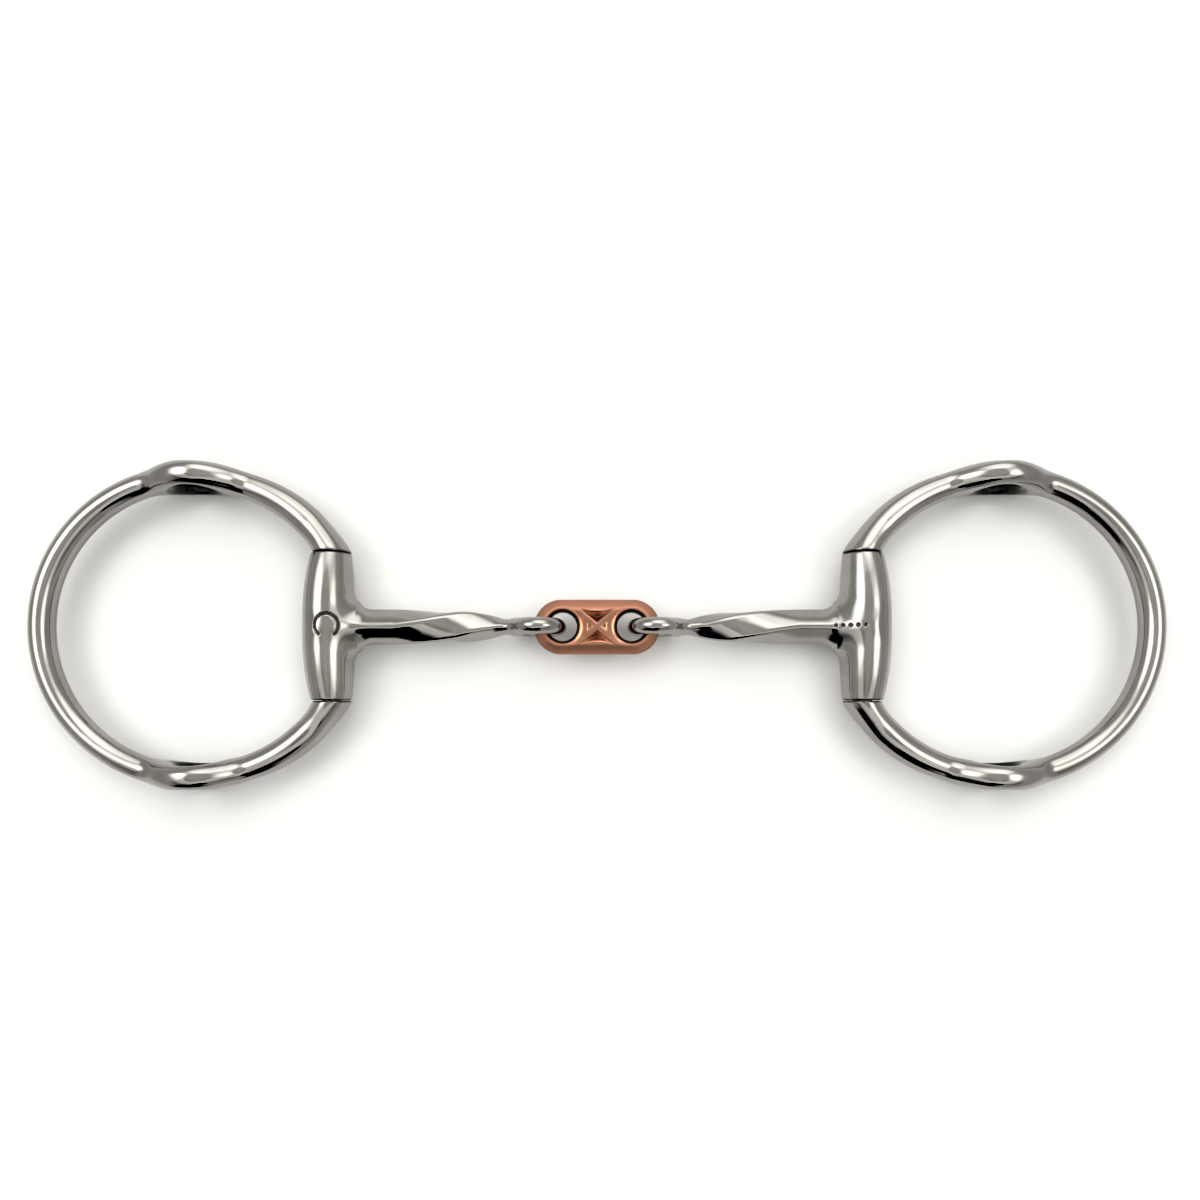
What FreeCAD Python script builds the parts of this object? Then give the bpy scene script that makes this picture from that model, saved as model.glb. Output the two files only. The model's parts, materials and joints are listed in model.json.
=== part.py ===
import FreeCAD, Part

import math
import os

# Eggbutt gag snaffle bit, lying flat. Millimetres.
# +X runs along the mouthpiece, +Y lies in the plane of the cheek rings, +Z is up from that
# plane. The origin is the centre of the copper lozenge, half way between the two rings.
# Every piece is made for the left (-X) side; the right side is the same piece turned half
# round about Z.

# --- mouthpiece ---
BARREL_X = 67.7            # barrel axis, from the centre
BARREL_HALF_LENGTH = 18.65
BARREL_END_RADIUS = 5.05
BARREL_SWELL = 1.45        # extra radius at the middle of the barrel
BARREL_LEAN = 0.7          # how far the middle leans away from the mouth
BARREL_FULLNESS = 2.5      # exponent of the egg-shaped profile
BARREL_EDGE = 0.5          # rounding of the barrel's ends

# --- hinge pin ---
PIN_RADIUS = 2.4
PIN_CLEARANCE = 0.1        # radial, in the barrel
RING_GAP = 0.5             # between barrel end and ring end
SOCKET_DEPTH = 3.2         # of the pin in each ring end

# --- cheek ring; a growth is (size, angle where it starts, angle over which it grows), with
# the angle measured from the barrel side and the growth running back towards the barrel ---
RING_X = 103.5             # ring centre, from the centre of the bit
RING_RADIUS = 38.0         # of the wire's centreline
RING_WIRE = 3.15           # wire radius
RING_SHOULDER = (2.6, 90.0, 65.0)    # the centreline widens
RING_THICKEN = (0.7, 80.0, 42.0)     # the wire thickens along the barrel side
RING_COLLAR = (1.1, 41.0, 14.0)      # and again at the ring's ends
RING_LEVEL_DEGREES = 14.0  # over which the sections turn level with the ring's flat ends
RING_END_Y = BARREL_HALF_LENGTH + RING_GAP
STRAP_X = 102.1            # the strap holes stand a little nearer the barrel than the ring centre
BOSS_DEGREES = math.degrees(math.acos((RING_X - STRAP_X) / RING_RADIUS))
BOSS_CURVE = 13.0          # radius of the pierced swelling's top, along the wire
BOSS_SLOPE = 0.75          # the steepest its flanks could get
BOSS_BLEND = 1.2           # how soon the flanks run out into the wire
BOSS_RADIAL = 0.85         # extra half thickness, in the ring's plane
BOSS_HEIGHT = 4.35         # extra half thickness, across the ring's plane
BOSS_SQUARENESS = 0.6      # how far its section is from an ellipse
STRAP_HOLE_RADIUS = 4.5
STRAP_HOLE_LENGTH = 1.6    # of the straight wall
STRAP_FLARE = 3.3          # radius of the rounded mouth
STRAP_FLARE_DEGREES = 60.0

# --- cannon bar and eye; a change is (size, distance from the barrel axis, length) ---
BAR_HALF_SIDE = 3.66       # of the square bar, at the barrel
BAR_THINNING = (0.16, 15.0, 10.0)
BAR_NECK = (1.95, 32.0, 16.0)        # drawn in towards the eye
BAR_SQUARENESS = 2.2       # exponent of the section: 2 is round
BAR_SQUARING = (4.8, 6.0, 9.0)
BAR_ROUNDING = (4.4, 41.0, 6.0)
BAR_LIFT = (0.65, 41.0, 6.0)         # extra height, where the bar meets the eye
TWIST_START = 17.0         # distances from the barrel axis
TWIST_END = 44.2
TWIST_DEGREES = 90.0
TWIST_EASE = 0.4           # share of the twist that is eased at both ends
FILLET_RADIUS = 6.4        # between barrel and bar
FILLET_END = 10.9
EYE_RADIUS = 5.2           # centreline of the eye
EYE_WIRE = 2.1
EYE_CENTRE_X = 15.0        # from the centre of the bit

# --- lozenge ---
LOZENGE_HALF_LENGTH = 16.05
LOZENGE_HALF_WIDTH = 7.0
LOZENGE_HALF_HEIGHT = 2.6
LOZENGE_EDGE = 2.3         # rounding of the outer edge
HOLE_OFFSET = 8.73
HOLE_RADIUS = 3.6
HOLE_FLARE = 1.9           # rounding of the hole's mouth
POCKET_DEPTH = 0.9
POCKET_SHOULDER = (4.5, 4.3)  # outer corners of the hollow
POCKET_DIP = 3.3           # nearest point of its outer side
POCKET_TIP = 0.9           # its inner corner

Vector = FreeCAD.Vector
ORIGIN = Vector(0, 0, 0)
ALONG_Y = Vector(0, 1, 0)
ALONG_Z = Vector(0, 0, 1)


def smooth(value):
    """A step from 0 to 1 with level ends."""
    value = min(1.0, max(0.0, value))
    return value * value * (3.0 - 2.0 * value)


def change(kind, place):
    """How much of a (size, start, length) change has come about at a place."""
    size, start, length = kind
    return size * smooth((place - start) / length)


def growth(kind, degrees):
    """The same for a growth that runs back from its start towards the barrel."""
    size, start, span = kind
    return size * smooth((start - degrees) / span)


def curve_through(points, parameters, periodic):
    """A cubic curve that passes through points at the given parameters."""
    curve = Part.BSplineCurve()
    curve.interpolate(Points=points, PeriodicFlag=periodic, Parameters=parameters)
    return curve


def skin(sections):
    """A solid whose smooth side passes through closed sections, with a flat face at each end."""
    around = [float(step) for step in range(len(sections[0]) + 1)]
    rings = [curve_through(points, around, True) for points in sections]
    centres = [sum(points, Vector()) * (1.0 / len(points)) for points in sections]
    along = [0.0]
    for before, after in zip(centres, centres[1:]):
        along.append(along[-1] + before.distanceToPoint(after))
    columns = zip(*[ring.getPoles() for ring in rings])
    lines = [curve_through(list(column), along, False) for column in columns]
    surface = Part.BSplineSurface()
    surface.buildFromPolesMultsKnots(
        [line.getPoles() for line in lines],
        rings[0].getMultiplicities(), lines[0].getMultiplicities(),
        rings[0].getKnots(), lines[0].getKnots(),
        True, False, 3, 3,
    )
    side = surface.toShape()
    caps = [Part.Face(Part.Wire([edge])) for edge in side.Edges if edge.isClosed()]
    shell = Part.makeShell([side] + caps)
    shell.sewShape()
    return Part.makeSolid(shell)


# ---------------------------------------------------------------- cheek ring

def ring_path(degrees):
    """A point of the wire's centreline, at an angle from the barrel side."""
    from_barrel = min(degrees, 360.0 - degrees)
    radius = RING_RADIUS + growth(RING_SHOULDER, from_barrel)
    angle = math.radians(degrees)
    return Vector(radius * math.cos(angle) - RING_X, radius * math.sin(angle), 0)


def ring_shape(degrees):
    """Half thickness in the ring's plane and across it, and the exponent of the section."""
    from_barrel = min(degrees, 360.0 - degrees)
    wire = RING_WIRE + growth(RING_THICKEN, from_barrel) + growth(RING_COLLAR, from_barrel)
    along = math.radians(from_barrel - BOSS_DEGREES) * RING_RADIUS
    steep = BOSS_SLOPE * BOSS_CURVE
    dome = BOSS_HEIGHT - BOSS_SLOPE * (math.hypot(steep, along) - steep)
    near = max(0.0, BOSS_BLEND - abs(dome)) / BOSS_BLEND
    boss = (max(dome, 0.0) + near * near * BOSS_BLEND / 4.0) / BOSS_HEIGHT
    return wire + BOSS_RADIAL * boss, wire + BOSS_HEIGHT * boss, 2.0 + BOSS_SQUARENESS * boss


def ring_end_degrees():
    """The angle at which the centreline reaches the ring's flat end."""
    low, high = 0.0, BOSS_DEGREES
    while high - low > 1e-6:
        middle = (low + high) / 2.0
        if ring_path(middle).y < RING_END_Y:
            low = middle
        else:
            high = middle
    return low


def ring_wire_section(degrees, end_degrees):
    """The section of the wire at one angle: square to the centreline, but level at the ends."""
    step = 0.5
    centre = ring_path(degrees)
    ahead = ring_path(degrees + step) - ring_path(degrees - step)
    ahead.normalize()
    outward = ahead.cross(ALONG_Z)
    from_end = min(degrees, 360.0 - degrees) - end_degrees
    level = 1.0 - smooth(from_end / RING_LEVEL_DEGREES)
    outward = outward * (1.0 - level) + Vector(1, 0, 0) * level
    outward.normalize()
    in_plane, across, power = ring_shape(degrees)
    points = []
    count = 24
    for index in range(count):
        turn = 2.0 * math.pi * index / count
        reach = abs(math.sin(turn)) ** power + abs(math.cos(turn)) ** power
        size = reach ** (-1.0 / power)
        side = outward * (size * in_plane * math.sin(turn))
        points.append(centre + side - ALONG_Z * (size * across * math.cos(turn)))
    return points


def ring_angles(end_degrees):
    """Where the sections stand: close together near the ends and on the bosses."""
    boss_reach = 24.0
    end_reach = 45.0
    fine, coarse = 2.0, 6.0
    half = []
    degrees = end_degrees
    while degrees < 180.0 - coarse / 2.0:
        half.append(degrees)
        near = abs(degrees - BOSS_DEGREES) < boss_reach or degrees < end_reach
        degrees += fine if near else coarse
    return half + [180.0] + [360.0 - degrees for degrees in reversed(half)]


def strap_hole():
    """The cutter for one pierced boss: a straight wall that opens into a rounded funnel."""
    half_wall = STRAP_HOLE_LENGTH / 2.0
    bend = math.radians(STRAP_FLARE_DEGREES)
    end_radius = STRAP_HOLE_RADIUS + STRAP_FLARE * (1.0 - math.cos(bend))
    end_reach = half_wall + STRAP_FLARE * math.sin(bend)
    middle_radius = STRAP_HOLE_RADIUS + STRAP_FLARE * (1.0 - math.cos(bend / 2.0))
    middle_reach = half_wall + STRAP_FLARE * math.sin(bend / 2.0)
    cone = 2.0
    cone_radius = end_radius + cone * math.tan(bend)
    edges = [Part.LineSegment(
        Vector(STRAP_HOLE_RADIUS, -half_wall, 0),
        Vector(STRAP_HOLE_RADIUS, half_wall, 0),
    ).toShape()]
    for side in (1, -1):
        start = Vector(STRAP_HOLE_RADIUS, side * half_wall, 0)
        middle = Vector(middle_radius, side * middle_reach, 0)
        end = Vector(end_radius, side * end_reach, 0)
        mouth = Vector(cone_radius, side * (end_reach + cone), 0)
        axis = Vector(0, side * (end_reach + cone), 0)
        edges.append(Part.Arc(start, middle, end).toShape())
        edges.append(Part.LineSegment(end, mouth).toShape())
        edges.append(Part.LineSegment(mouth, axis).toShape())
    top = Vector(0, end_reach + cone, 0)
    edges.append(Part.LineSegment(top, top * -1.0).toShape())
    outline = Part.Wire(Part.__sortEdges__(edges))
    return Part.Face(outline).revolve(ORIGIN, ALONG_Y, 360)


def make_ring():
    """The left ring: a C of varying wire, with two pierced bosses and two pin sockets."""
    end_degrees = ring_end_degrees()
    body = skin([ring_wire_section(degrees, end_degrees) for degrees in ring_angles(end_degrees)])
    for side in (1, -1):
        hole = strap_hole()
        hole.translate(Vector(-STRAP_X, side * RING_RADIUS, 0))
        body = body.cut(hole)
    reach = RING_END_Y + SOCKET_DEPTH
    socket = Part.makeCylinder(PIN_RADIUS, 2.0 * reach, Vector(-BARREL_X, -reach, 0), ALONG_Y)
    return body.cut(socket)


def make_pin():
    """The left hinge pin, through the barrel into both ends of the ring."""
    half = RING_END_Y + SOCKET_DEPTH
    return Part.makeCylinder(PIN_RADIUS, 2.0 * half, Vector(-BARREL_X, -half, 0), ALONG_Y)


# ---------------------------------------------------------------- cannon

def barrel_section(y):
    """The round section of the barrel at one height."""
    fullness = 1.0 - (abs(y) / BARREL_HALF_LENGTH) ** BARREL_FULLNESS
    radius = BARREL_END_RADIUS + BARREL_SWELL * fullness
    edge = abs(y) - (BARREL_HALF_LENGTH - BARREL_EDGE)
    if edge > 0.0:
        radius -= BARREL_EDGE - math.sqrt(max(0.0, BARREL_EDGE ** 2 - edge ** 2))
    centre_x = -BARREL_X - BARREL_LEAN * fullness
    count = 24
    turns = [2.0 * math.pi * index / count for index in range(count)]
    return [Vector(centre_x + radius * math.cos(turn), y, -radius * math.sin(turn)) for turn in turns]


def make_barrel():
    inner = BARREL_HALF_LENGTH - BARREL_EDGE
    middle = [inner * step / 6.0 for step in range(-6, 7)]
    end = [inner + BARREL_EDGE * part for part in (0.35, 0.65, 0.87, 1.0)]
    heights = [-y for y in reversed(end)] + middle + end
    return skin([barrel_section(y) for y in heights])


def bar_section(distance):
    """The rounded square of the bar, turned by the twist and spread into the barrel."""
    squareness = BAR_SQUARENESS + change(BAR_SQUARING, distance) - change(BAR_ROUNDING, distance)
    half_side = BAR_HALF_SIDE - change(BAR_THINNING, distance) - change(BAR_NECK, distance)
    corner = half_side * 2.0 ** (0.5 - 1.0 / squareness)
    spread = 1.0
    if distance < FILLET_END:
        back = min(FILLET_END - distance, FILLET_RADIUS)
        spread += (FILLET_RADIUS - math.sqrt(FILLET_RADIUS ** 2 - back ** 2)) / corner
    lift = 1.0 + change(BAR_LIFT, distance)
    part = min(1.0, max(0.0, (distance - TWIST_START) / (TWIST_END - TWIST_START)))
    twist = TWIST_DEGREES * ((1.0 - TWIST_EASE) * part + TWIST_EASE * smooth(part))
    angle = math.radians(45.0 - twist)
    points = []
    count = 32
    for index in range(count):
        turn = 2.0 * math.pi * (index + 0.5) / count
        reach = abs(math.cos(turn)) ** squareness + abs(math.sin(turn)) ** squareness
        radius = half_side / reach ** (1.0 / squareness)
        y = radius * math.cos(turn + angle) * spread
        z = radius * math.sin(turn + angle) * lift
        points.append(Vector(distance - BARREL_X, y, z))
    return points


def make_bar():
    """The bar, from inside the barrel to inside the eye's wire."""
    root = [3.0, 5.4, 6.2, 7.2, 8.5, 10.0, 12.0, 14.5]
    spacing = 1.5
    length = [TWIST_START + spacing * step for step in range(21)]
    return skin([bar_section(distance) for distance in root + length])


def make_cannon():
    """The left cannon: barrel, twisted bar and eye in one casting, bored for the pin."""
    eye = Part.makeTorus(EYE_RADIUS, EYE_WIRE, Vector(-EYE_CENTRE_X, 0, 0), ALONG_Y)
    body = make_barrel().fuse([make_bar(), eye])
    reach = 2.0 * BARREL_HALF_LENGTH
    bore = Part.makeCylinder(PIN_RADIUS + PIN_CLEARANCE, 2.0 * reach, Vector(-BARREL_X, -reach, 0), ALONG_Y)
    return body.cut(bore).removeSplitter()


# ---------------------------------------------------------------- lozenge

def lozenge_outline():
    """A long oval: two straight sides and two round ends."""
    rise = LOZENGE_HALF_WIDTH
    tip = LOZENGE_HALF_LENGTH
    inset = tip - rise
    edges = [
        Part.LineSegment(Vector(-inset, -rise, 0), Vector(inset, -rise, 0)).toShape(),
        Part.Arc(Vector(inset, -rise, 0), Vector(tip, 0, 0), Vector(inset, rise, 0)).toShape(),
        Part.LineSegment(Vector(inset, rise, 0), Vector(-inset, rise, 0)).toShape(),
        Part.Arc(Vector(-inset, rise, 0), Vector(-tip, 0, 0), Vector(-inset, -rise, 0)).toShape(),
    ]
    return Part.Wire(edges)


def lozenge_hole():
    """The cutter for one eye hole, rounded out at both faces."""
    wall = LOZENGE_HALF_HEIGHT - HOLE_FLARE
    mouth = HOLE_RADIUS + HOLE_FLARE
    top = LOZENGE_HALF_HEIGHT
    quarter = HOLE_FLARE * math.sqrt(0.5)
    edges = [
        Part.LineSegment(Vector(0, 0, -top), Vector(mouth, 0, -top)).toShape(),
        Part.Arc(
            Vector(mouth, 0, -top),
            Vector(mouth - quarter, 0, -wall - quarter),
            Vector(HOLE_RADIUS, 0, -wall),
        ).toShape(),
        Part.LineSegment(Vector(HOLE_RADIUS, 0, -wall), Vector(HOLE_RADIUS, 0, wall)).toShape(),
        Part.Arc(
            Vector(HOLE_RADIUS, 0, wall),
            Vector(mouth - quarter, 0, wall + quarter),
            Vector(mouth, 0, top),
        ).toShape(),
        Part.LineSegment(Vector(mouth, 0, top), Vector(0, 0, top)).toShape(),
        Part.LineSegment(Vector(0, 0, top), Vector(0, 0, -top)).toShape(),
    ]
    return Part.Face(Part.Wire(edges)).revolve(ORIGIN, ALONG_Z, 360)


def pocket():
    """The hollow between the two hole rims, above the middle of one face."""
    shoulder_x, shoulder_y = POCKET_SHOULDER
    floor = LOZENGE_HALF_HEIGHT - POCKET_DEPTH
    left = Vector(-shoulder_x, shoulder_y, floor)
    right = Vector(shoulder_x, shoulder_y, floor)
    dip = Vector(0, POCKET_DIP, floor)
    tip = Vector(0, POCKET_TIP, floor)
    outline = Part.Wire([
        Part.LineSegment(tip, right).toShape(),
        Part.Arc(right, dip, left).toShape(),
        Part.LineSegment(left, tip).toShape(),
    ])
    return Part.Face(outline).extrude(ALONG_Z * LOZENGE_HALF_HEIGHT)


def make_lozenge():
    """The copper link, with its two holes and the four pockets of its faces."""
    slab = Part.Face(lozenge_outline()).extrude(ALONG_Z * (2.0 * LOZENGE_HALF_HEIGHT))
    slab.translate(ALONG_Z * -LOZENGE_HALF_HEIGHT)
    rims = [edge for edge in slab.Edges if abs(edge.CenterOfMass.z) > LOZENGE_HALF_HEIGHT * 0.9]
    body = slab.makeFillet(LOZENGE_EDGE, rims)
    for side in (1, -1):
        hole = lozenge_hole()
        hole.translate(Vector(side * HOLE_OFFSET, 0, 0))
        body = body.cut(hole)
    for turn_x in (0, 180):
        for turn_z in (0, 180):
            hollow = pocket()
            hollow.rotate(ORIGIN, ALONG_Z, turn_z)
            hollow.rotate(ORIGIN, Vector(1, 0, 0), turn_x)
            body = body.cut(hollow)
    return body


# ---------------------------------------------------------------- export

def write(node, shape):
    solids = shape.Solids
    print(node, "valid", shape.isValid(), "solids", len(solids), "volume", round(shape.Volume, 1))
    whole = solids[0] if len(solids) == 1 else Part.Compound(solids)
    whole.exportStep("parts/" + node + ".step")


def half_turn(shape):
    turned = shape.copy()
    turned.rotate(ORIGIN, ALONG_Z, 180)
    return turned


os.makedirs("parts", exist_ok=True)
for name, make in (("cheek_ring", make_ring), ("hinge_pin", make_pin), ("cannon", make_cannon)):
    left_piece = make()
    write("left_" + name, left_piece)
    write("right_" + name, half_turn(left_piece))
write("copper_lozenge", make_lozenge())
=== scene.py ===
import json
import math

import bpy
import numpy as np
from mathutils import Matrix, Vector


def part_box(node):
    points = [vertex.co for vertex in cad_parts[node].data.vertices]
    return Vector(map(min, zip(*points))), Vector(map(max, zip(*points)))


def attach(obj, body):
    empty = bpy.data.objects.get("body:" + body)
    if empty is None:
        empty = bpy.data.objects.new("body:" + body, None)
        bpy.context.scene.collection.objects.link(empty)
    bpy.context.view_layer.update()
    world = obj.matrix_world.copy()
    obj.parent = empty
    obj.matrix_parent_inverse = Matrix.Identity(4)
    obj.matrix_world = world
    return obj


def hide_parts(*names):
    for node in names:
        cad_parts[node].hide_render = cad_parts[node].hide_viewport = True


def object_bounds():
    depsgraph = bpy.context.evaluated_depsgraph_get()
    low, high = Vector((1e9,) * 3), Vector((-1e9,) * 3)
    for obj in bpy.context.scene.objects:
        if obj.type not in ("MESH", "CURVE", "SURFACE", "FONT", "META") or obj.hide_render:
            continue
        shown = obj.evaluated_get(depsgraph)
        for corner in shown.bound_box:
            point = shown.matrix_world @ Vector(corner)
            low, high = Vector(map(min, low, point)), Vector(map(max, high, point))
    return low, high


# An eggbutt gag snaffle bit, lying flat under the camera. Metres, in the frame of the CAD model.
# Each casting is a solid field: a function that is negative inside the metal. Its surface is
# drawn from a grid and then moved onto the field, so blends and edges are smooth.
# Fields describe the left (-X) pieces; the right ones are the same, turned half round about Z.

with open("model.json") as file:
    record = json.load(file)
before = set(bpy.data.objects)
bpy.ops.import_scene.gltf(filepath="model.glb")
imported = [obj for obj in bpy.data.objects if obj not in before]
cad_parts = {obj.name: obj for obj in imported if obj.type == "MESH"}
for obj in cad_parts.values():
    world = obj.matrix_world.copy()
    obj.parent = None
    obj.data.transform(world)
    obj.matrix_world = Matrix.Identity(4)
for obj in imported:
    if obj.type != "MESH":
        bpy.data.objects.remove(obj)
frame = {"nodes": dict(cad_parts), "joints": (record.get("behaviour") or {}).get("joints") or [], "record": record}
cad_low, cad_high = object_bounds()

MM = 0.001
joints = {joint["name"]: joint for joint in frame["joints"]}
mounts = {mount["name"]: mount for mount in frame["record"]["mounts"]}
strap_mount = mounts["left_top_strap_hole"]

# --- places and sizes the frame gives ---
BARREL_X = -joints["left_cheek_swivel"]["pos_m"][0]
EYE_X = -joints["left_link_fold"]["pos_m"][0]
STRAP_X = -strap_mount["pos_m"][0]
RING_RADIUS = strap_mount["pos_m"][1]
STRAP_HOLE_RADIUS = strap_mount["dims"]["r_mm"] * MM
STRAP_WALL = strap_mount["dims"]["length_mm"] * MM / 2
CANNON_LOW, CANNON_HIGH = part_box("left_cannon")
RING_LOW, RING_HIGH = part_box("left_cheek_ring")
PIN_LOW, PIN_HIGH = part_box("left_hinge_pin")
LINK_LOW, LINK_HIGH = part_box("copper_lozenge")
BARREL_HALF = CANNON_HIGH.y
PIN_RADIUS = PIN_HIGH.z

# --- cheek ring; a growth towards the barrel is (size, degrees it starts at, degrees it takes) ---
RING_WIRE = 3.15 * MM
RING_X = -RING_LOW.x - RING_RADIUS - RING_WIRE
RING_END_BEYOND = 4.8 * MM
RING_SHOULDER = (RING_X - BARREL_X + RING_END_BEYOND - RING_RADIUS, 90.0, 65.0)
RING_THICKEN = (0.7 * MM, 80.0, 42.0)
RING_COLLAR = (1.1 * MM, 41.0, 14.0)
RING_LEVEL = (1.0, 42.0, 14.0)
SOCKET_EDGE = 0.05 * MM
BOSS_DEGREES = math.degrees(math.acos((RING_X - STRAP_X) / RING_RADIUS))
BOSS_CURVE = 13.0 * MM
BOSS_SLOPE = 0.75
BOSS_BLEND = 1.2 * MM
BOSS_RADIAL = 0.85 * MM
BOSS_HEIGHT = RING_HIGH.z - RING_WIRE
BOSS_SQUARENESS = 0.6
STRAP_FLARE = 3.3 * MM
STRAP_LEAN = math.radians(60.0)
STRAP_BEYOND = 2.0 * MM
STRAP_LIP = 0.8 * MM

# --- cannon; a change along the bar is (size, distance from the barrel axis, length) ---
BARREL_END = 5.05 * MM
BARREL_SWELL = 1.45 * MM
BARREL_LEAN = 0.7 * MM
BARREL_FULLNESS = 2.5
BARREL_EDGE = 0.5 * MM
BORE_RADIUS = PIN_RADIUS + 0.1 * MM
BORE_EDGE = 0.5 * MM
BAR_HALF_SIDE = 3.85 * MM
BAR_THINNING = (0.16 * MM, 15.0 * MM, 10.0 * MM)
BAR_NECK = (2.1 * MM, 32.0 * MM, 16.0 * MM)
BAR_LIFT = (0.65, 41.0 * MM, 6.0 * MM)
BAR_ROUNDING = (1.0, 41.0 * MM, 6.0 * MM)
BAR_CORNER = 1.2
BAR_CURVE = 11.0 * MM
BAR_RIDGE = 0.9 * MM
BAR_END = 47.5 * MM
BAR_END_EDGE = 1.0 * MM
BAR_BLEND = 4.0 * MM
FILLET_RADIUS = 6.4 * MM
FILLET_END = 10.9 * MM
FILLET_PART = 0.6
TWIST_START = 17.0 * MM
TWIST_END = 44.2 * MM
TWIST_FROM = 45.0
TWIST_DEGREES = 90.0
TWIST_EASE = 0.4
EYE_RADIUS = 5.2 * MM
EYE_WIRE = 2.1 * MM
EYE_BLEND = 2.2 * MM

# --- marks cut into the top of the barrels ---
MARK_DEPTH = 0.28 * MM
HORSESHOE_RADIUS = 2.9 * MM
HORSESHOE_LINE = 0.36 * MM
HORSESHOE_AT = 0.6 * MM
HORSESHOE_END = math.radians(140.0)
PUNCH_COUNT = 5
PUNCH_FIRST = 1.2 * MM
PUNCH_STEP = 1.7 * MM
PUNCH_SIZE = 0.45 * MM

# --- lozenge ---
HOLE_X = 8.73 * MM
HOLE_RADIUS = 3.6 * MM
HOLE_FLARE = 1.9 * MM
HOLE_LEAN = 0.95
HOLE_LIP = 0.8 * MM
LINK_HALF_WIDTH = 7.0 * MM
FACE_DROP = 0.1 * MM
FACE_EDGE = 0.35 * MM
LINK_TOP = LINK_HIGH.z + FACE_DROP
LINK_BEVEL = 3.2 * MM
LINK_PILLOW = 1.35
RIM_RADIUS = 6.0 * MM
POCKET_DEPTH = 1.5 * MM
POCKET_EDGE = 1.7 * MM
POCKET_REACH = 4.0 * MM
POCKET_BOW = 10.0 * MM
DIP_DEPTH = 0.9 * MM
ARM_HALF_WIDTH = 0.35 * MM
ARM_SLOPE = math.radians(39.0)

# --- the seam slit; painted shade in the seams, strap holes, engraved grooves and lozenge hollows; the lozenge's matt bevel ---
SEAM_SLIT = 0.15 * MM
SEAM_SHADE = 0.55 * MM
MOUTH_SHADE = 0.4 * MM
HOLE_SHADE = 1.0 * MM
HOLLOW_SHADE = 0.92
SHADE_FADE = 0.25 * MM
MATT_FADE = 0.6 * MM

# --- colours ---
STEEL_DARK = (0.25, 0.244, 0.228)
STEEL_LIGHT = (0.32, 0.312, 0.295)
# painted shade: near-black colour for the seams, strap-hole walls and engraved grooves
STEEL_SHADE = (0.012, 0.012, 0.011)
# painted shade: the pins show only through the seam slits and are coloured near black there
PIN_DARK = (0.02, 0.02, 0.02)
PIN_LIGHT = (0.1, 0.1, 0.1)
COPPER_RED = (0.34, 0.14, 0.082)
COPPER_LIGHT = (0.5, 0.26, 0.17)
COPPER_MATT = (0.38, 0.175, 0.112)
# painted shade: near-black colour for the lozenge's hole walls and hollows
COPPER_SHADE = (0.02, 0.01, 0.007)
FLOOR_COLOR = (0.74, 0.74, 0.74)
SKY_TINT = (("Red", 1.0), ("Green", 0.985), ("Blue", 0.945))

# --- light: the sky's brightness by angle from overhead, then soft boxes (and dark gaps, below
# zero) as azimuth from +X, angle from overhead, full out to, gone at, brightness ---
SKY_LEVELS = ((0.0, 0.9), (20.0, 0.85), (26.0, 2.0), (41.0, 1.8), (50.0, 0.75), (75.0, 0.6), (90.0, 0.85))
SOFT_BOXES = (
    (160.0, 38.0, 9.0, 22.0, 3.4),
    (3.0, 36.0, 8.0, 18.0, 2.4),
    (80.0, 50.0, 10.0, 30.0, 2.4),
    (230.0, 40.0, 10.0, 32.0, -0.6),
    (310.0, 40.0, 10.0, 32.0, -0.5),
    (272.0, 52.0, 5.0, 13.0, -1.5),
    (250.0, 80.0, 16.0, 32.0, -0.8),
)

# --- stage and camera ---
FLOOR_Z = cad_low.z
FLOOR_HALF = 3.0
CAMERA_HEIGHT = 215.0 * MM
CAMERA_SEES = 306.0 * MM
CAMERA_BELOW = 18.6 * MM
CAMERA_SENSOR = 36.0
CAMERA_SHIFT_X = 0.0025
CAMERA_SHIFT_Y = 1.0 / 12.0

# --- meshing ---
RING_CELL = 0.36 * MM
CANNON_CELL = 0.28 * MM
LINK_CELL = 0.22 * MM
SLOPE_STEP = 0.02 * MM
LEAST_SLOPE = 0.05
EVENING_ROUNDS = 3
EVENING_SHARE = 0.6
LANDING_ROUNDS = 3
HALF_TURN = np.array([-1.0, -1.0, 1.0])


# ---------------------------------------------------------------- field tools

def smooth(value):
    """A step from 0 to 1 with level ends."""
    value = np.clip(value, 0.0, 1.0)
    return value * value * (3.0 - 2.0 * value)


def change(kind, along):
    """How much of a (size, start, length) change has come at a distance along the bar."""
    size, start, length = kind
    return size * smooth((along - start) / length)


def growth(kind, degrees):
    """How much of a ring's (size, start, length) growth has come, as the degrees fall."""
    size, start, length = kind
    return size * smooth((start - degrees) / length)


def join(a, b, blend):
    """The union of two fields, with a fillet about as wide as blend."""
    near = np.clip(blend - np.abs(a - b), 0.0, None) / blend
    return np.minimum(a, b) - near * near * blend / 4


def common(a, b, blend):
    """What two fields share, with its edge rounded over about blend."""
    return -join(-a, -b, blend)


def as_distance(field, x, y, z):
    """A field divided by its slope, so that it measures distance near the surface."""
    step = 0.01 * MM
    value = field(x, y, z)
    slope_x = (field(x + step, y, z) - value) / step
    slope_y = (field(x, y + step, z) - value) / step
    slope_z = (field(x, y, z + step) - value) / step
    return value / np.maximum(np.sqrt(slope_x ** 2 + slope_y ** 2 + slope_z ** 2), LEAST_SLOPE)


def gradient(field, points):
    """The slope of a field at points, from differences across each."""
    slope = np.empty_like(points)
    for axis in range(3):
        shift = np.zeros(3)
        shift[axis] = SLOPE_STEP
        ahead = field(*(points + shift).T)
        behind = field(*(points - shift).T)
        slope[:, axis] = (ahead - behind) / (2 * SLOPE_STEP)
    return slope


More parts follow.
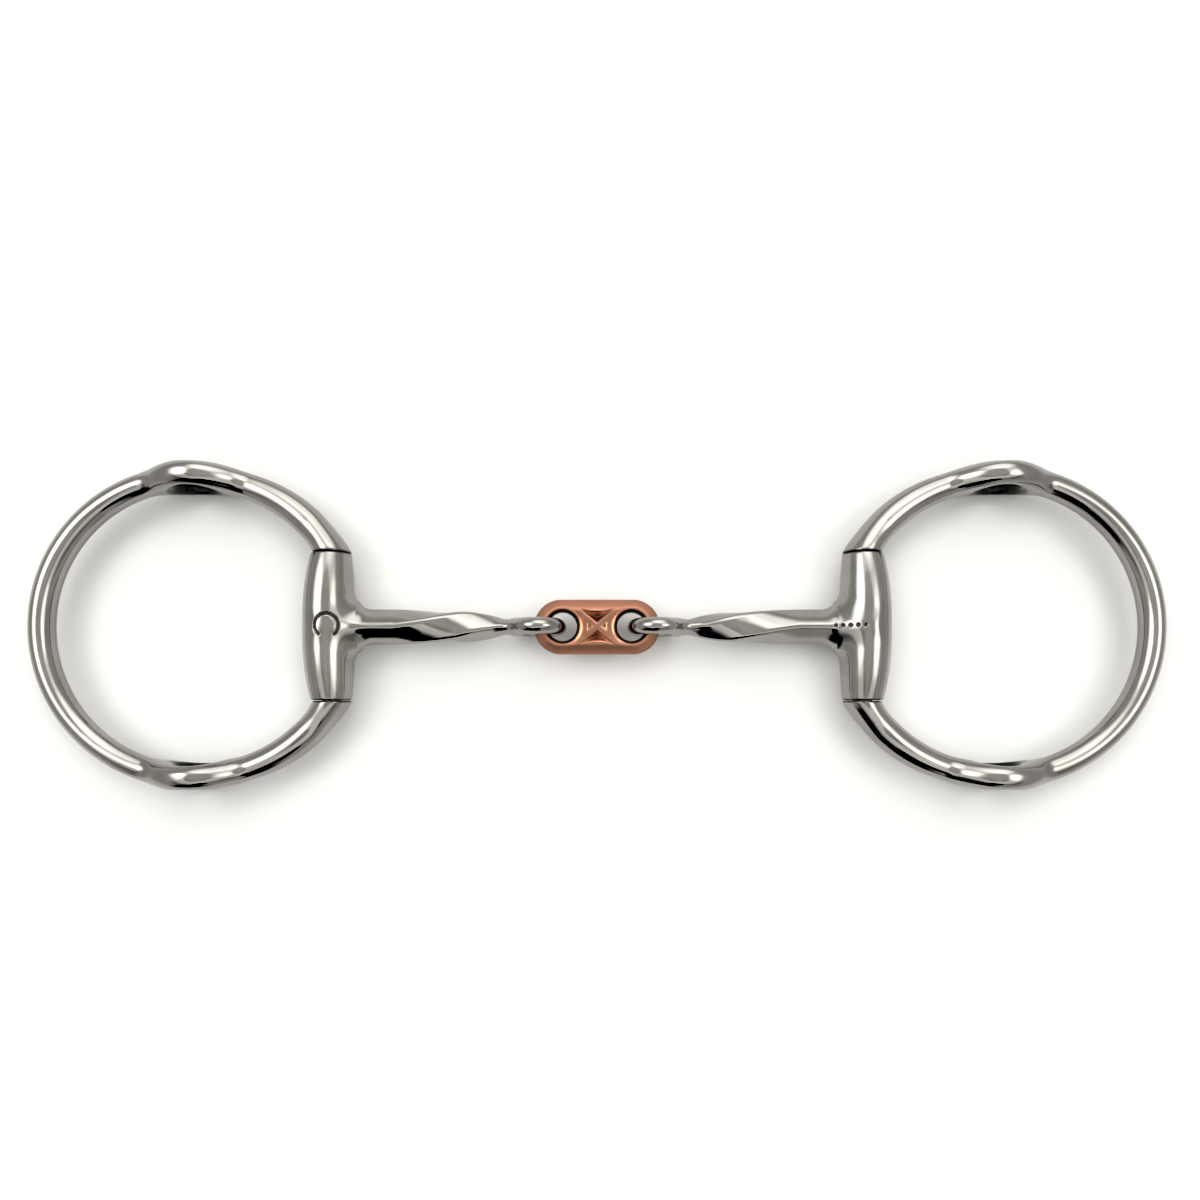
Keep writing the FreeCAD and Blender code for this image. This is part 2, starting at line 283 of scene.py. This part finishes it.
def grid_surface(field, low, high, cell):
    """Points and four-sided faces where a field crosses zero, one point in each crossed cell."""
    axes = [np.arange(low[k] - 2 * cell, high[k] + 3 * cell, cell) for k in range(3)]
    sizes = [len(axis) for axis in axes]
    value = np.empty(sizes, np.float32)
    for index, x in enumerate(axes[0]):
        y, z = np.meshgrid(axes[1], axes[2], indexing="ij")
        value[index] = field(np.full(y.shape, x), y, z)
    inside = value < 0
    cells = [size - 1 for size in sizes]
    total = np.zeros(cells + [3])
    count = np.zeros(cells)
    crossings = []
    for axis in range(3):
        first = [slice(None)] * 3
        second = [slice(None)] * 3
        first[axis] = slice(0, -1)
        second[axis] = slice(1, None)
        crossed = np.argwhere(inside[tuple(first)] != inside[tuple(second)])
        start = value[tuple(crossed.T)]
        ends = crossed.copy()
        ends[:, axis] += 1
        finish = value[tuple(ends.T)]
        place = crossed.astype(float)
        place[:, axis] += start / (start - finish)
        others = [k for k in range(3) if k != axis]
        for back_a in (0, 1):
            for back_b in (0, 1):
                owner = crossed.copy()
                owner[:, others[0]] -= back_a
                owner[:, others[1]] -= back_b
                np.add.at(total, tuple(owner.T), place)
                np.add.at(count, tuple(owner.T), 1)
        crossings.append((axis, others, crossed, start < 0))
    used = count > 0
    number = np.full(cells, -1)
    number[used] = np.arange(used.sum())
    origin = np.array([axis[0] for axis in axes])
    points = total[used] / count[used][:, None] * cell + origin
    faces = []
    for axis, others, crossed, outward in crossings:
        corners = []
        for back_a, back_b in ((0, 0), (1, 0), (1, 1), (0, 1)):
            owner = crossed.copy()
            owner[:, others[0]] -= back_a
            owner[:, others[1]] -= back_b
            corners.append(number[tuple(owner.T)])
        quads = np.stack(corners, 1)
        flip = outward if axis == 1 else ~outward
        quads[flip] = quads[flip][:, ::-1]
        faces.append(quads)
    return points, np.concatenate(faces)


def settle(field, points, faces, cell):
    """Evens out the points along the surface and puts each one on it."""
    edges = np.concatenate([faces[:, [k, (k + 1) % 4]] for k in range(4)])
    edges = np.concatenate([edges, edges[:, ::-1]])
    degree = np.bincount(edges[:, 0], minlength=len(points))[:, None]
    for turn in range(EVENING_ROUNDS + 1):
        if turn < EVENING_ROUNDS:
            total = np.zeros_like(points)
            for axis in range(3):
                total[:, axis] = np.bincount(edges[:, 0], points[edges[:, 1], axis], len(points))
            points = (1.0 - EVENING_SHARE) * points + EVENING_SHARE * total / degree
        for _ in range(LANDING_ROUNDS):
            slope = gradient(field, points)
            steep = np.maximum((slope ** 2).sum(1), LEAST_SLOPE)
            move = slope * (field(*points.T) / steep)[:, None]
            length = np.maximum(np.sqrt((move ** 2).sum(1)), 1e-9)
            points = points - move * np.minimum(1.0, cell / 2 / length)[:, None]
    return points


def cast(name, field, low, high, cell, tints, turned=False):
    """A mesh object from a field, with the field's own slope as its shading normals.

    Each tint is a function of the point, 0 to 1, kept on the mesh's points for its material.
    """
    points, faces = grid_surface(field, low, high, cell)
    points = settle(field, points, faces, cell)
    levels = {tint: level(points[:, 0], points[:, 1], points[:, 2]) for tint, level in tints.items()}
    normals = gradient(field, points)
    normals /= np.sqrt((normals ** 2).sum(1))[:, None]
    if turned:
        points = points * HALF_TURN
        normals = normals * HALF_TURN
    mesh = bpy.data.meshes.new(name)
    mesh.from_pydata(points.tolist(), [], faces.tolist())
    mesh.update()
    mesh.shade_smooth()
    mesh.normals_split_custom_set_from_vertices(normals.tolist())
    for tint, values in levels.items():
        mesh.attributes.new(tint, "FLOAT", "POINT").data.foreach_set("value", values)
    piece = bpy.data.objects.new(name, mesh)
    bpy.context.scene.collection.objects.link(piece)
    return piece


# ---------------------------------------------------------------- cheek ring

def strap_hole(x, y, z):
    """The rounded funnel through each boss, along Y."""
    depth = np.abs(np.abs(y) - RING_RADIUS) - STRAP_WALL
    steepest = math.sin(STRAP_LEAN)
    lean = np.clip(depth / STRAP_FLARE, 0.0, steepest)
    level = np.sqrt(1.0 - lean * lean)
    beyond = np.clip(depth - steepest * STRAP_FLARE, 0.0, STRAP_BEYOND)
    radius = STRAP_HOLE_RADIUS + STRAP_FLARE * (1.0 - level) + beyond * math.tan(STRAP_LEAN)
    return (np.hypot(x + STRAP_X, z) - radius) * level


def ring_field(x, y, z):
    """The left cheek ring: a C of varying wire with two pierced bosses.

    Its section is between an ellipse and a rectangle. Near the barrel it is narrowed by the
    slant of the wire, so that the level cut at each end stays as wide as the barrel.
    """
    out = x + RING_X
    degrees = np.degrees(np.arctan2(np.abs(y), out))
    path = RING_RADIUS + growth(RING_SHOULDER, degrees)
    radius = RING_WIRE + growth(RING_THICKEN, degrees) + growth(RING_COLLAR, degrees)
    along = np.radians(degrees - BOSS_DEGREES) * RING_RADIUS
    steep = BOSS_SLOPE * BOSS_CURVE
    dome = BOSS_HEIGHT - BOSS_SLOPE * (np.hypot(steep, along) - steep)
    boss = -join(-dome, 0.0, BOSS_BLEND) / BOSS_HEIGHT
    power = 2.0 + BOSS_SQUARENESS * boss
    slant = 1.0 - growth(RING_LEVEL, degrees) * (1.0 - np.cos(np.radians(degrees)))
    half_plane = (radius + BOSS_RADIAL * boss) * slant
    half_height = radius + BOSS_HEIGHT * boss
    across = np.abs(np.hypot(out, y) - path) / half_plane
    up = np.abs(z) / half_height
    most = np.maximum(np.maximum(across, up), 1e-6)
    least = np.minimum(across, up) / most
    reach = most * (1.0 + least ** power) ** (1.0 / power)
    wire = reach * (reach - 1.0) / np.maximum(np.hypot(across / half_plane, up / half_height), 1e-6)
    ends = np.where(out > RING_RADIUS / 2, BARREL_HALF + SEAM_SLIT - np.abs(y), -RING_RADIUS)
    wire = common(wire, ends, BARREL_EDGE)
    socket = np.hypot(x + BARREL_X, z) - PIN_RADIUS
    deep = np.abs(y) - PIN_HIGH.y
    wire = common(wire, -np.maximum(socket, deep), SOCKET_EDGE)
    return common(wire, -strap_hole(x, y, z), STRAP_LIP)


def seam_shade(x, y):
    """Painted shade: the dark line where a ring's end meets the barrel."""
    away = np.abs(np.abs(y) - BARREL_HALF - SEAM_SLIT / 2)
    near_barrel = x + RING_X > RING_RADIUS / 2
    return near_barrel * smooth((SEAM_SHADE - away) / SHADE_FADE)


def ring_shade(x, y, z):
    """Painted shade: dark seams, and dark walls in the strap holes."""
    in_hole = smooth((MOUTH_SHADE - np.abs(strap_hole(x, y, z))) / SHADE_FADE)
    return np.maximum(seam_shade(x, y), in_hole)


# ---------------------------------------------------------------- cannon

def barrel(x, y, z):
    """The egg-shaped sleeve, its middle leaning away from the mouth."""
    fullness = 1.0 - np.clip(np.abs(y) / BARREL_HALF, 0.0, 1.0) ** BARREL_FULLNESS
    side = np.hypot(x + BARREL_X + BARREL_LEAN * fullness, z) - BARREL_END - BARREL_SWELL * fullness
    return common(side, np.abs(y) - BARREL_HALF, BARREL_EDGE)


def bar(x, y, z):
    """The square bar: spread into the barrel, twisted a quarter turn, drawn in at the eye."""
    along = x + BARREL_X
    half_side = BAR_HALF_SIDE - change(BAR_THINNING, along) - change(BAR_NECK, along)
    corner = half_side * BAR_CORNER
    back = np.clip(FILLET_END - along, 0.0, FILLET_PART * FILLET_RADIUS)
    spread = 1.0 + (FILLET_RADIUS - np.sqrt(FILLET_RADIUS ** 2 - back ** 2)) / corner
    lift = 1.0 + change(BAR_LIFT, along)
    part = np.clip((along - TWIST_START) / (TWIST_END - TWIST_START), 0.0, 1.0)
    turned = (1.0 - TWIST_EASE) * part + TWIST_EASE * smooth(part)
    angle = np.radians(TWIST_FROM - TWIST_DEGREES * turned)
    flat_y = y / spread
    flat_z = z / lift
    u = flat_y * np.cos(angle) + flat_z * np.sin(angle)
    v = flat_z * np.cos(angle) - flat_y * np.sin(angle)
    face_u = np.abs(u) - half_side + v ** 2 / (2 * BAR_CURVE)
    face_v = np.abs(v) - half_side + u ** 2 / (2 * BAR_CURVE)
    square = common(face_u, face_v, BAR_RIDGE)
    rounding = change(BAR_ROUNDING, along)
    return square * (1.0 - rounding) + (np.hypot(u, v) - half_side) * rounding


def eye(x, y, z):
    """The closed loop, standing across the mouthpiece."""
    return np.hypot(np.hypot(x + EYE_X, z) - EYE_RADIUS, y) - EYE_WIRE


def groove(away, size):
    """A groove's depth: full out to half its size from its middle, and gone at one and a half."""
    return MARK_DEPTH * smooth(1.5 - away / size)


def horseshoe(along, y):
    """How deep the small engraved horseshoe is at a place on the barrel."""
    out = along - HORSESHOE_AT
    turn = np.clip(np.arctan2(out, y), -HORSESHOE_END, HORSESHOE_END)
    away = np.hypot(out - HORSESHOE_RADIUS * np.sin(turn), y - HORSESHOE_RADIUS * np.cos(turn))
    return groove(away, HORSESHOE_LINE)


def punch_marks(along, y):
    """How deep the row of round punch marks is."""
    depth = np.zeros_like(along)
    for index in range(PUNCH_COUNT):
        away = np.hypot(along - PUNCH_FIRST - PUNCH_STEP * index, y)
        depth = np.maximum(depth, groove(away, PUNCH_SIZE))
    return depth


def cannon_field(marks):
    """The left cannon: barrel, twisted bar and eye, bored for the pin, with marks cut on top."""
    def field(x, y, z):
        inner = as_distance(bar, x, y, z)
        inner = common(inner, x + BARREL_X - BAR_END, BAR_END_EDGE)
        inner = common(inner, -x - BARREL_X, BAR_END_EDGE)
        body = join(barrel(x, y, z), inner, BAR_BLEND)
        body = join(body, eye(x, y, z), EYE_BLEND)
        bore = BORE_RADIUS - np.hypot(x + BARREL_X, z)
        body = common(body, bore, BORE_EDGE)
        return body + marks(x + BARREL_X, y) * (z > 0)
    return field


def cannon_shade(marks):
    """Painted shade: dark seams, and dark grooves in the marks."""
    def painted_shade(x, y, z):
        groove = marks(x + BARREL_X, y) * (z > 0) / MARK_DEPTH
        return np.maximum(seam_shade(x, y), groove)
    return painted_shade


# ---------------------------------------------------------------- lozenge

def hollows(x, y):
    """How deep the face is hollowed on the four sides of its raised X."""
    side = np.abs(x)
    off = np.abs(y)
    beyond_arm = off * math.cos(ARM_SLOPE) - side * math.sin(ARM_SLOPE)
    under_bevel = POCKET_REACH + side ** 2 / (2 * POCKET_BOW) - off
    beside_rim = np.hypot(side - HOLE_X, y) - RIM_RADIUS
    deep = np.minimum(np.minimum(beyond_arm - ARM_HALF_WIDTH, under_bevel), beside_rim)
    shallow = np.minimum(-beyond_arm - ARM_HALF_WIDTH, beside_rim)
    return POCKET_DEPTH * smooth(deep / POCKET_EDGE) + DIP_DEPTH * smooth(shallow / POCKET_EDGE)


def link_outline(x, y):
    """Distance to the lozenge's oval outline, seen from above; below zero inside it."""
    end = LINK_HIGH.x - LINK_HALF_WIDTH
    return np.hypot(np.clip(np.abs(x) - end, 0.0, None), y) - LINK_HALF_WIDTH


def link_field(x, y, z):
    """The copper lozenge: a bevelled oval with two funnel-mouthed holes."""
    inset = np.clip(link_outline(x, y) + LINK_BEVEL, 0.0, None) / LINK_BEVEL
    high = np.abs(z) / LINK_TOP
    pillow = ((inset ** LINK_PILLOW + high ** LINK_PILLOW) ** (1.0 / LINK_PILLOW) - 1.0) * LINK_TOP
    face = np.abs(z) - LINK_TOP + FACE_DROP + hollows(x, y)
    body = common(pillow, face, FACE_EDGE)
    depth = np.abs(z) - (LINK_TOP - HOLE_FLARE)
    lean = np.clip(depth / HOLE_FLARE, 0.0, HOLE_LEAN)
    level = np.sqrt(1.0 - lean * lean)
    radius = HOLE_RADIUS + HOLE_FLARE * (1.0 - level)
    hole = (np.hypot(np.abs(x) - HOLE_X, y) - radius) * level
    return common(body, -hole, HOLE_LIP)


def link_shade(x, y, z):
    """Painted shade: dark hole walls, and copper darkened in the hollows."""
    away = np.hypot(np.abs(x) - HOLE_X, y) - HOLE_RADIUS
    walls = smooth((HOLE_SHADE - away) / SHADE_FADE)
    return np.maximum(walls, HOLLOW_SHADE * hollows(x, y) / POCKET_DEPTH)


def link_matt(x, y, z):
    """1 on the bevel, which is left matt, and 0 on the polished face."""
    return smooth((link_outline(x, y) + LINK_BEVEL) / MATT_FADE)


# ---------------------------------------------------------------- materials

def new_material(name, color, roughness):
    """A metal with its shader, ready for more nodes; nodes take over its plain values."""
    material = bpy.data.materials.new(name)
    material.use_nodes = True
    nodes = material.node_tree.nodes
    shader = nodes["Principled BSDF"]
    shader.inputs["Metallic"].default_value = 1.0
    shader.inputs["Base Color"].default_value = (*color, 1.0)
    shader.inputs["Roughness"].default_value = roughness
    return material, nodes, material.node_tree.links, shader


def add_noise(nodes, links, scale, detail):
    """A noise texture in the object's own space."""
    place = nodes.new("ShaderNodeTexCoord")
    noise = nodes.new("ShaderNodeTexNoise")
    noise.inputs["Scale"].default_value = scale
    noise.inputs["Detail"].default_value = detail
    links.new(place.outputs["Object"], noise.inputs["Vector"])
    return noise


def ramp_between(nodes, links, noise, low_at, low, high_at, high):
    """A color ramp from low to high, over a noise's values."""
    ramp = nodes.new("ShaderNodeValToRGB")
    ramp.color_ramp.elements[0].position = low_at
    ramp.color_ramp.elements[0].color = (*low, 1.0)
    ramp.color_ramp.elements[1].position = high_at
    ramp.color_ramp.elements[1].color = (*high, 1.0)
    links.new(noise.outputs["Fac"], ramp.inputs["Fac"])
    return ramp.outputs["Color"]


def mix_by_tint(nodes, links, tint, base, other):
    """The base output, changed to the other value where the mesh's tint is 1."""
    level = nodes.new("ShaderNodeAttribute")
    level.attribute_name = tint
    mix = nodes.new("ShaderNodeMix")
    mix.data_type = "RGBA"
    links.new(level.outputs["Fac"], mix.inputs["Factor"])
    links.new(base, mix.inputs["A"])
    mix.inputs["B"].default_value = (*other, 1.0)
    return mix.outputs["Result"]


def add_bumps(nodes, links, shader, layers):
    """Bump layers, each a noise scale, detail and height in metres."""
    normal = None
    for scale, detail, height in layers:
        bump = nodes.new("ShaderNodeBump")
        bump.inputs["Strength"].default_value = 1.0
        bump.inputs["Distance"].default_value = height
        links.new(add_noise(nodes, links, scale, detail).outputs["Fac"], bump.inputs["Height"])
        if normal is not None:
            links.new(normal, bump.inputs["Normal"])
        normal = bump.outputs["Normal"]
    links.new(normal, shader.inputs["Normal"])


def polished_steel():
    """Hand-polished stainless steel: faintly uneven, with fine wear, and painted shade, near black, in the seams,
    strap-hole walls and engraved grooves.
    """
    material, nodes, links, shader = new_material("polished_steel", (0.5, 0.5, 0.5), 0.1)
    tone = add_noise(nodes, links, 90.0, 3.0)
    color = ramp_between(nodes, links, tone, 0.3, STEEL_DARK, 0.7, STEEL_LIGHT)
    # painted shade: the colour goes near black where the mesh's shade level is 1
    shaded = mix_by_tint(nodes, links, "painted_shade", color, STEEL_SHADE)
    links.new(shaded, shader.inputs["Base Color"])
    haze = add_noise(nodes, links, 260.0, 5.0)
    rough = ramp_between(nodes, links, haze, 0.35, (0.07,) * 3, 0.75, (0.19,) * 3)
    links.new(rough, shader.inputs["Roughness"])
    add_bumps(nodes, links, shader, ((160.0, 1.0, 0.05 * MM), (2500.0, 2.0, 0.0012 * MM)))
    return material


def pin_steel():
    """The hinge pins, coloured near black as painted shade in the seam slits they are seen through."""
    material, nodes, links, shader = new_material("pin_steel", (0.35, 0.35, 0.35), 0.35)
    pin_shade_noise = add_noise(nodes, links, 300.0, 3.0)
    color = ramp_between(nodes, links, pin_shade_noise, 0.3, PIN_DARK, 0.7, PIN_LIGHT)
    links.new(color, shader.inputs["Base Color"])
    return material


def polished_copper():
    """Polished copper with a matt bevel, and painted shade darkening the holes and hollows."""
    material, nodes, links, shader = new_material("polished_copper", (0.55, 0.27, 0.17), 0.18)
    tone = add_noise(nodes, links, 220.0, 4.0)
    polished = ramp_between(nodes, links, tone, 0.3, COPPER_RED, 0.7, COPPER_LIGHT)
    bevelled = mix_by_tint(nodes, links, "matt", polished, COPPER_MATT)
    # painted shade: near black on the hole walls, and darker in the hollows
    shaded = mix_by_tint(nodes, links, "painted_shade", bevelled, COPPER_SHADE)
    links.new(shaded, shader.inputs["Base Color"])
    haze = add_noise(nodes, links, 700.0, 4.0)
    rough = ramp_between(nodes, links, haze, 0.35, (0.09,) * 3, 0.75, (0.2,) * 3)
    rough = mix_by_tint(nodes, links, "matt", rough, (0.5,) * 3)
    links.new(rough, shader.inputs["Roughness"])
    add_bumps(nodes, links, shader, ((420.0, 2.0, 0.015 * MM), (3000.0, 2.0, 0.002 * MM)))
    return material


# ---------------------------------------------------------------- pieces

def place(piece, node, body, slot, material):
    """Gives a piece its material and body, and has it stand for its CAD node."""
    piece.data.materials.append(material)
    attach(piece, body)
    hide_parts(node)


def make_side(side, turned, marks, steel, pin):
    """The ring and cannon of one side, and the look of its CAD pin."""
    # painted shade: the ring's seams and strap-hole walls are darkened
    tints = {"painted_shade": ring_shade}
    ring = cast(side + "_ring_casting", ring_field, RING_LOW, RING_HIGH, RING_CELL, tints, turned)
    place(ring, side + "_cheek_ring", side + "_cheek", "polished_steel", steel)
    field = cannon_field(marks)
    # painted shade: the cannon's seams and engraved grooves are darkened
    tints = {"painted_shade": cannon_shade(marks)}
    cannon = cast(side + "_cannon_casting", field, CANNON_LOW, CANNON_HIGH, CANNON_CELL, tints, turned)
    place(cannon, side + "_cannon", side + "_cannon", "polished_steel", steel)
    # painted shade: the CAD pin gets the near-black pin material
    slots = frame["nodes"][side + "_hinge_pin"].data.materials
    for index in range(len(slots)):
        slots[index] = pin


def make_lozenge(copper):
    """The copper link."""
    # painted shade: the hole walls and hollows are darkened
    tints = {"painted_shade": link_shade, "matt": link_matt}
    link = cast("lozenge_link", link_field, LINK_LOW, LINK_HIGH, LINK_CELL, tints)
    place(link, "copper_lozenge", "link", "polished_copper", copper)


def make_pieces():
    """Every piece of the bit."""
    steel = polished_steel()
    copper = polished_copper()
    pin = pin_steel()
    make_side("left", False, horseshoe, steel, pin)
    make_side("right", True, punch_marks, steel, pin)
    make_lozenge(copper)


# ---------------------------------------------------------------- stage

def make_floor():
    """A plain pale floor under the bosses."""
    mesh = bpy.data.meshes.new("floor")
    signs = ((-1, -1), (1, -1), (1, 1), (-1, 1))
    corners = [(FLOOR_HALF * across, FLOOR_HALF * up, FLOOR_Z) for across, up in signs]
    mesh.from_pydata(corners, [], [(0, 1, 2, 3)])
    floor = bpy.data.objects.new("floor", mesh)
    bpy.context.scene.collection.objects.link(floor)
    material = bpy.data.materials.new("floor")
    material.use_nodes = True
    shader = material.node_tree.nodes["Principled BSDF"]
    shader.inputs["Base Color"].default_value = (*FLOOR_COLOR, 1.0)
    shader.inputs["Roughness"].default_value = 0.9
    shader.inputs["Specular IOR Level"].default_value = 0.0
    mesh.materials.append(material)


def add_values(nodes, links, first, second):
    """The sum of two outputs, or the second alone."""
    if first is None:
        return second
    add = nodes.new("ShaderNodeMath")
    links.new(first, add.inputs[0])
    links.new(second, add.inputs[1])
    return add.outputs["Value"]


def toward(azimuth, polar):
    """The direction at an azimuth from +X and an angle from overhead, in degrees."""
    around = math.radians(azimuth)
    down = math.radians(polar)
    return (math.sin(down) * math.cos(around), math.sin(down) * math.sin(around), math.cos(down))


def make_world():
    """A grey studio: a bright ring of sky round the overhead, with soft boxes and dark gaps."""
    world = bpy.data.worlds.new("studio")
    bpy.context.scene.world = world
    world.use_nodes = True
    nodes = world.node_tree.nodes
    links = world.node_tree.links
    background = nodes["Background"]
    direction = nodes.new("ShaderNodeTexCoord")
    split = nodes.new("ShaderNodeSeparateXYZ")
    links.new(direction.outputs["Generated"], split.inputs["Vector"])
    fall = nodes.new("ShaderNodeMath")
    fall.operation = "ARCCOSINE"
    links.new(split.outputs["Z"], fall.inputs[0])
    total = None
    for (start, before), (end, after) in zip(SKY_LEVELS, SKY_LEVELS[1:]):
        step = nodes.new("ShaderNodeMapRange")
        step.interpolation_type = "SMOOTHSTEP"
        step.inputs["From Min"].default_value = math.radians(start)
        step.inputs["From Max"].default_value = math.radians(end)
        step.inputs["To Min"].default_value = SKY_LEVELS[0][1] if total is None else 0.0
        step.inputs["To Max"].default_value = after if total is None else after - before
        links.new(fall.outputs["Value"], step.inputs["Value"])
        total = add_values(nodes, links, total, step.outputs["Result"])
    for azimuth, polar, inner, outer, level in SOFT_BOXES:
        dot = nodes.new("ShaderNodeVectorMath")
        dot.operation = "DOT_PRODUCT"
        dot.inputs[1].default_value = toward(azimuth, polar)
        links.new(direction.outputs["Generated"], dot.inputs[0])
        glow = nodes.new("ShaderNodeMapRange")
        glow.interpolation_type = "SMOOTHSTEP"
        glow.inputs["From Min"].default_value = math.cos(math.radians(outer))
        glow.inputs["From Max"].default_value = math.cos(math.radians(inner))
        glow.inputs["To Min"].default_value = 0.0
        glow.inputs["To Max"].default_value = level
        links.new(dot.outputs["Value"], glow.inputs["Value"])
        total = add_values(nodes, links, total, glow.outputs["Result"])
    tint = nodes.new("ShaderNodeCombineColor")
    for channel, share in SKY_TINT:
        scale = nodes.new("ShaderNodeMath")
        scale.operation = "MULTIPLY"
        scale.inputs[1].default_value = share
        links.new(total, scale.inputs[0])
        links.new(scale.outputs["Value"], tint.inputs[channel])
    links.new(tint.outputs["Color"], background.inputs["Color"])


def make_camera():
    """Straight down from close above, a little nearer the bottom of the rings than the middle."""
    data = bpy.data.cameras.new("camera")
    data.sensor_width = CAMERA_SENSOR
    data.lens = CAMERA_SENSOR * CAMERA_HEIGHT / CAMERA_SEES
    data.shift_x = CAMERA_SHIFT_X
    data.shift_y = CAMERA_SHIFT_Y
    data.clip_start = 0.01
    camera = bpy.data.objects.new("camera", data)
    camera.location = (0.0, -CAMERA_BELOW, CAMERA_HEIGHT)
    bpy.context.scene.collection.objects.link(camera)
    bpy.context.scene.camera = camera


make_pieces()
make_floor()
make_world()
make_camera()
bpy.context.scene.view_settings.view_transform = "Standard"
